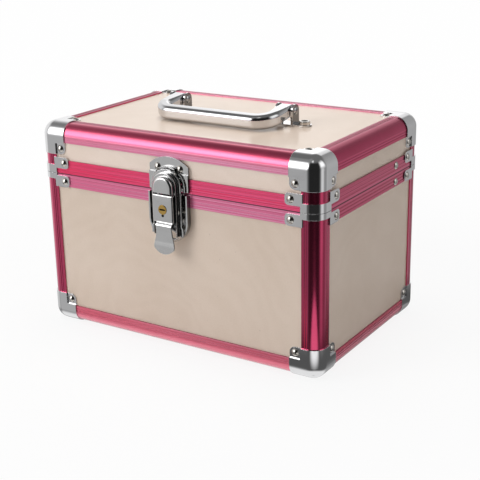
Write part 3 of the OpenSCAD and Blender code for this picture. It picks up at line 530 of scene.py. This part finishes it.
def flockFinish(name, look):  # dark flocked lining
    f = Finish(name, Roughness=look["rough"], Specular_IOR_Level=look["gloss"],
               Sheen_Weight=look["sheen"], Sheen_Roughness=look["sheenRough"])
    pile, worn = (f.noise(f.coords, *look[k]) for k in ("pile", "wear"))
    byPile, byWear = look["shares"]
    return f.set(Base_Color=f.blend(pile * byPile + worn * byWear, look["dark"], look["light"]),
                 Normal=f.bump(pile, look["bump"], look["bumpDepth"]))


alongX, alongY, alongZ = 0, 1, 2
posts = sectionFinish("pinkPost", alongZ, postLook)
# by the start of a node's name: front and back pieces run along X, the side ones along Y
longSections = {
    "top_edge": (sectionFinish("pinkTopEdge", alongX, topEdgeLook),
                 sectionFinish("pinkTopEdgeSide", alongY, shadedSideEdgeLook)),
    "base_edge": (sectionFinish("pinkBaseEdgeX", alongX, baseEdgeLook),
                  sectionFinish("pinkBaseEdgeY", alongY, baseEdgeLook)),
    "lid_rim": (sectionFinish("pinkLidRim", alongX, lidRimLook),
                sectionFinish("pinkRimSide", alongY, sideRimLook)),
    "body_rim": (sectionFinish("pinkBodyRim", alongX, bodyRimLook),
                 sectionFinish("pinkBodyRimSide", alongY, sideRimLook)),
}
laminate = boardFinish("pearlLaminate", boardLook)
lidFrontLaminate = boardFinish("pearlLaminatePaintedLight", litBoardLook)
plating = {name: plateFinish(name, **look) for name, look in plates.items()}
flock = flockFinish("darkFlock", flockLook)


def finishFor(node):
    if node == "lid_front_panel":
        return lidFrontLaminate
    if node.endswith("_panel"):
        return laminate
    if node.endswith("_lining"):
        return flock
    if node.startswith("post_") or node == "lid_posts":
        return posts
    kind, place = node.rpartition("_")[::2]
    if kind in longSections:
        return longSections[kind][0 if place in ("front", "back") else 1]
    if node.startswith(("base_cap", "top_cap")):
        return plating["capPlating"]
    if node.endswith("_rivets"):
        return plating["rivetPlating"]
    own = {"body_brackets": "bracketPlating", "lid_brackets": "bracketPlating",
           "lock_plug": "plugBrass", "strike_plate": "strikePlating", "handle": "handlePlating"}
    return plating[own.get(node, "latchPlating")]


for name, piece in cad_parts.items():
    for slot in piece.material_slots:
        slot.material = finishFor(name)
print("finishes:", len(bpy.data.materials), "materials")

# the latch's pressed claw and lever, in millimetres: depth from the wall's face, height from
# the seam, x from the middle
latch = {
    "wall": (0, -0.07635, 0.1212),
    "face": -10.4,
    "sheet": 1.0,
    "arcSteps": 28,
    "edgeSteps": 5,
    "sharpFrom": 35,  # degrees
    "domeHalf": 8.3,
    "domeRound": 1.8,
    "domeMiddle": 4.7,
    "clawStart": 1.1,
    "stepDepth": -7.9,
    "stepFall": 0.05,
    "stepRound": 0.45,
    "stepMiddle": 5.3,
    "underDome": 0.5,
    "armIn": 9.05,
    "armOut": 10.05,
    "armBottom": -30.5,
    "flangeDepth": -5.3,
    "flangeHalf": 12.6,
    "flangeMiddle": 4.8,
    "chamfer": 0.3,
    "prong": (11.6, 13.6, -30.5, -24.5),
    "clawPivot": (-4.4, -13),
    "clawEye": 2.85,
    "bar": (6.9, -9.4, -2.4, 6.85, 7.85),
    "leverHalf": 8.7,
    "leverTop": -0.1,
    "leverBottom": -20.2,
    "leverRound": 0.9,
    "leverDeep": -2.4,
    "leverWallTop": 2.4,
    "leverLug": (2.0, 2.5, 0.9),  # how deep it is, and its two ends under the lever's top
    "leverPivot": (-6.6, -3),
    "leverEye": 3.15,
    "sideSteps": 16,
    "lock": -10.8,
    "plugHole": 3.5,
    "sleeve": (4.5, 5.4),
    "tabSheet": 0.9,
    "tabChamfer": 0.25,
    "tabEndSteps": 10,
    # depth, height, half width along the tab
    "tab": [(-8.2, -17.5, 7.0), (-8.2, -20.4, 7.0), (-8.5, -21.3, 7.0), (-9.2, -21.8, 7.0),
            (-9.8, -22.3, 7.0), (-10.05, -23.2, 6.8), (-9.65, -26.0, 6.8), (-9.35, -29.5, 7.1),
            (-9.3, -33.0, 7.9), (-9.5, -35.5, 8.5), (-9.8, -37.6, 8.9)],
    "tabEnd": (-43.9, 11.0, -10.3),  # bottom, radius, depth
    "tabTip": 0.02,  # how far over its bottom the rounded end stops
}


class Pressing:  # a mesh put together from lofts
    def __init__(self, latch):
        self.latch, self.points, self.faces = latch, [], []

    def loft(self, rings, closed=False):
        start, count = len(self.points), len(rings[0])
        for ring in rings:
            self.points += ring
        pairs = list(zip(range(len(rings)), range(1, len(rings))))
        if closed:
            pairs.append((len(rings) - 1, 0))
        for one, two in ((start + a * count, start + b * count) for a, b in pairs):
            for k in range(count):
                after = (k + 1) % count
                self.faces.append([one + k, one + after, two + after, two + k])
        if not closed:
            self.faces.append([start + k for k in reversed(range(count))])
            self.faces.append([start + (len(rings) - 1) * count + k for k in range(count)])

    def arch(self, half, middle, bottom, depth):
        steps = self.latch["arcSteps"]
        turn = [math.pi * k / steps for k in range(steps + 1)]
        over = [(half * math.cos(t), depth, middle + half * math.sin(t)) for t in turn]
        return [(half, depth, bottom)] + over + [(-half, depth, bottom)]

    def openArch(self, wall):  # a section run over an arch that stays open at the bottom
        self.loft(list(zip(*wall)))

    def circle(self, radius):
        turn = [2 * math.pi * k / self.latch["arcSteps"] for k in range(self.latch["arcSteps"])]
        return [(radius * math.cos(t), radius * math.sin(t)) for t in turn]

    def prism(self, outline, near, far):  # an outline of (depth, height), run from x to x
        self.loft([[(x, depth, up) for depth, up in outline] for x in (near, far)])

    def disc(self, middle, radius, near, far):
        depth, up = middle
        self.prism([(depth + d, up + u) for d, u in self.circle(radius)], near, far)

    def box(self, x, depth, up):
        front, back = depth
        low, high = up
        self.prism([(front, low), (back, low), (back, high), (front, high)], *x)

    def place(self, name, finish, body, node):  # shown in place of the node, on its body
        mesh = bpy.data.meshes.new(name)
        wall = self.latch["wall"]
        points = [tuple(w + p / 1000 for w, p in zip(wall, point)) for point in self.points]
        mesh.from_pydata(points, [], self.faces)
        shape = bmesh.new()
        shape.from_mesh(mesh)
        bmesh.ops.recalc_face_normals(shape, faces=shape.faces)
        shape.to_mesh(mesh)
        shape.free()
        mesh.materials.append(finish)
        mesh.polygons.foreach_set("use_smooth", [True] * len(mesh.polygons))
        mesh.set_sharp_from_angle(angle=math.radians(self.latch["sharpFrom"]))
        piece = bpy.data.objects.new(name, mesh)
        bpy.context.scene.collection.objects.link(piece)
        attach(piece, body)
        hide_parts(node)


def roundOver(radius, steps):  # (how far in from the side, how far behind the front)
    turn = [math.pi / 2 * k / steps for k in range(steps + 1)]
    return [(radius * (1 - math.cos(t)), radius * (1 - math.sin(t))) for t in turn]


def makeClaw(latch):
    claw, sheet, chamfer = Pressing(latch), latch["sheet"], latch["chamfer"]
    face, step, flange = latch["face"], latch["stepDepth"], latch["flangeDepth"]
    half, middle, start = latch["domeHalf"], latch["domeMiddle"], latch["clawStart"]
    rings = [claw.arch(half - sheet, middle, start + sheet, depth + sheet)
             for depth in (face, step)]
    rings.append(claw.arch(half, middle, start, step + sheet))
    rings += [claw.arch(half - inward, middle, start, face + behind)
              for inward, behind in roundOver(latch["domeRound"], latch["edgeSteps"])]
    claw.loft(rings)
    # flat step round the dome
    inner, out, middle = half - latch["underDome"], latch["armOut"], latch["stepMiddle"]
    rim = out - latch["stepRound"]
    ends = ((inner, step + latch["stepFall"]), (rim, step),
            (rim, step + sheet), (inner, step + sheet))
    claw.loft([claw.arch(wide, middle, start, depth) for wide, depth in ends], closed=True)
    # wall of the step, which runs down as the arms, and its flange
    low, armIn = latch["armBottom"], latch["armIn"]
    wall = [claw.arch(armIn, middle, low, depth) for depth in (flange + sheet, step + chamfer)]
    wall += [claw.arch(out - inward, middle, low, step + behind)
             for inward, behind in reversed(roundOver(latch["stepRound"], latch["edgeSteps"]))]
    wall.append(claw.arch(out, middle, low, flange))
    wall += [claw.arch(latch["flangeHalf"] - inward, latch["flangeMiddle"], low, flange + behind)
             for inward, behind in ((chamfer, 0), (0, chamfer), (0, sheet))]
    claw.openArch(wall)
    near, far, bottom, top = latch["prong"]
    for side in (-1, 1):
        claw.box((side * near, side * far), (flange, flange + sheet), (bottom, top))
        claw.disc(latch["clawPivot"], latch["clawEye"], side * armIn, side * out)
    reach, front, back, barBottom, barTop = latch["bar"]
    claw.box((-reach, reach), (front, back), (barBottom, barTop))
    claw.place("clawPressing", plating["latchPlating"], "latch_claw", "latch_claw")


def frameRing(half, bottom, top, depth, steps):
    corners = [(half, bottom), (half, top), (-half, top), (-half, bottom)]
    ring = []
    for (x, up), (nextX, nextUp) in zip(corners, corners[1:] + corners[:1]):
        ring += [(x + (nextX - x) * k / steps, depth, up + (nextUp - up) * k / steps)
                 for k in range(steps)]
    return ring


def holeRing(around, middle, radius, depth):
    turn = [math.atan2(up - middle, x) for x, _, up in around]
    return [(radius * math.cos(t), depth, middle + radius * math.sin(t)) for t in turn]


def makeLever(latch):
    lever, sheet, steps = Pressing(latch), latch["sheet"], latch["sideSteps"]
    face, half, top, bottom = (latch[k] for k in ("face", "leverHalf", "leverTop", "leverBottom"))
    front = face + latch["leverRound"]
    back = front + latch["chamfer"]
    rims = [frameRing(half, bottom, top, back, steps)]
    rims += [frameRing(half - inward, bottom + inward, top - inward, face + behind, steps)
             for inward, behind in roundOver(latch["leverRound"], latch["edgeSteps"])]
    rims += [holeRing(rims[0], latch["lock"], latch["plugHole"], depth) for depth in (face, back)]
    lever.loft(rims, closed=True)
    lugDeep, lugLow, lugHigh = latch["leverLug"]
    for side in (-1, 1):
        walls = (side * (half - sheet), side * half)
        lever.box(walls, (front, latch["leverDeep"]), (bottom, top - latch["leverWallTop"]))
        lever.box(walls, (front, face + lugDeep), (top - lugLow, top - lugHigh))
        lever.disc(latch["leverPivot"], latch["leverEye"], *walls)
    hole, (outer, long) = latch["plugHole"], latch["sleeve"]
    ends = ((hole, front), (outer, front), (outer, face + long), (hole, face + long))
    lever.loft([[(x, depth, latch["lock"] + up) for x, up in lever.circle(radius)]
                for radius, depth in ends], closed=True)
    makeTab(lever, latch)
    lever.place("leverPressing", plating["leverPlating"], "latch_lever", "latch_lever")


def makeTab(pressing, latch):
    bottom, radius, endDepth = latch["tabEnd"]
    path = list(latch["tab"])
    lastDepth, lastUp, lastHalf = path[-1]
    steps = latch["tabEndSteps"]
    for k in range(1, steps + 1):  # the rounded end
        share = math.sin(math.pi / 2 * k / steps)
        up = lastUp + (bottom + latch["tabTip"] - lastUp) * share
        half = math.sqrt(radius ** 2 - (up - bottom - radius) ** 2)
        path.append((lastDepth + (endDepth - lastDepth) * share, up, min(lastHalf, half)))
    thick, corner, rings = latch["tabSheet"] / 2, latch["tabChamfer"], []
    for k, (depth, up, half) in enumerate(path):
        before, after = path[max(k - 1, 0)], path[min(k + 1, len(path) - 1)]
        run, fall = after[0] - before[0], after[1] - before[1]
        size = math.hypot(run, fall)
        outDepth, outUp = fall / size, -run / size
        section = [(half - corner, thick), (half, thick - corner),
                   (half, corner - thick), (half - corner, -thick)]
        section += [(-x, t) for x, t in reversed(section)]
        rings.append([(x, depth + outDepth * t, up + outUp * t) for x, t in section])
    pressing.loft(rings)


makeClaw(latch)
makeLever(latch)
print("latch: claw and lever")

bpy.context.scene.view_settings.view_transform = "Standard"
